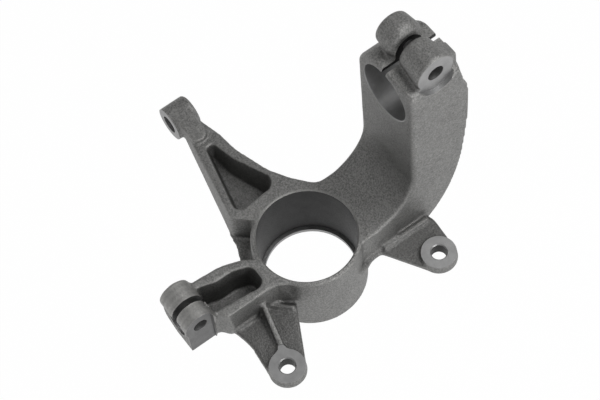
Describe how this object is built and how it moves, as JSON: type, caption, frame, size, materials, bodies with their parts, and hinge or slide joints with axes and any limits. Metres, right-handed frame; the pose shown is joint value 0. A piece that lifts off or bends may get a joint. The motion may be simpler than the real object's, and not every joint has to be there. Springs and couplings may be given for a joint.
{
  "type": "steering knuckle",
  "caption": "Cast front steering knuckle: bearing ring with strut clamp, ball joint clamp, steering arm with tie rod eye and caliper ears.",
  "frame": {"origin": "centre of the hub opening at the bearing ring's outboard end face", "axes": "+Z along the hub bearing's axis, inboard; +Y along the strut's bore, from the ball joint clamp up to the strut clamp; +X towards the caliper ears"},
  "size_m": [0.2697, 0.2633, 0.2535],
  "materials": {
    "cast_iron": "bare as-cast iron with fine sand grain, smoother grey at the machined bores and faces"
  },
  "bodies": {
    "root": {"steering_knuckle": "cast_iron"}
  },
  "joints": []
}
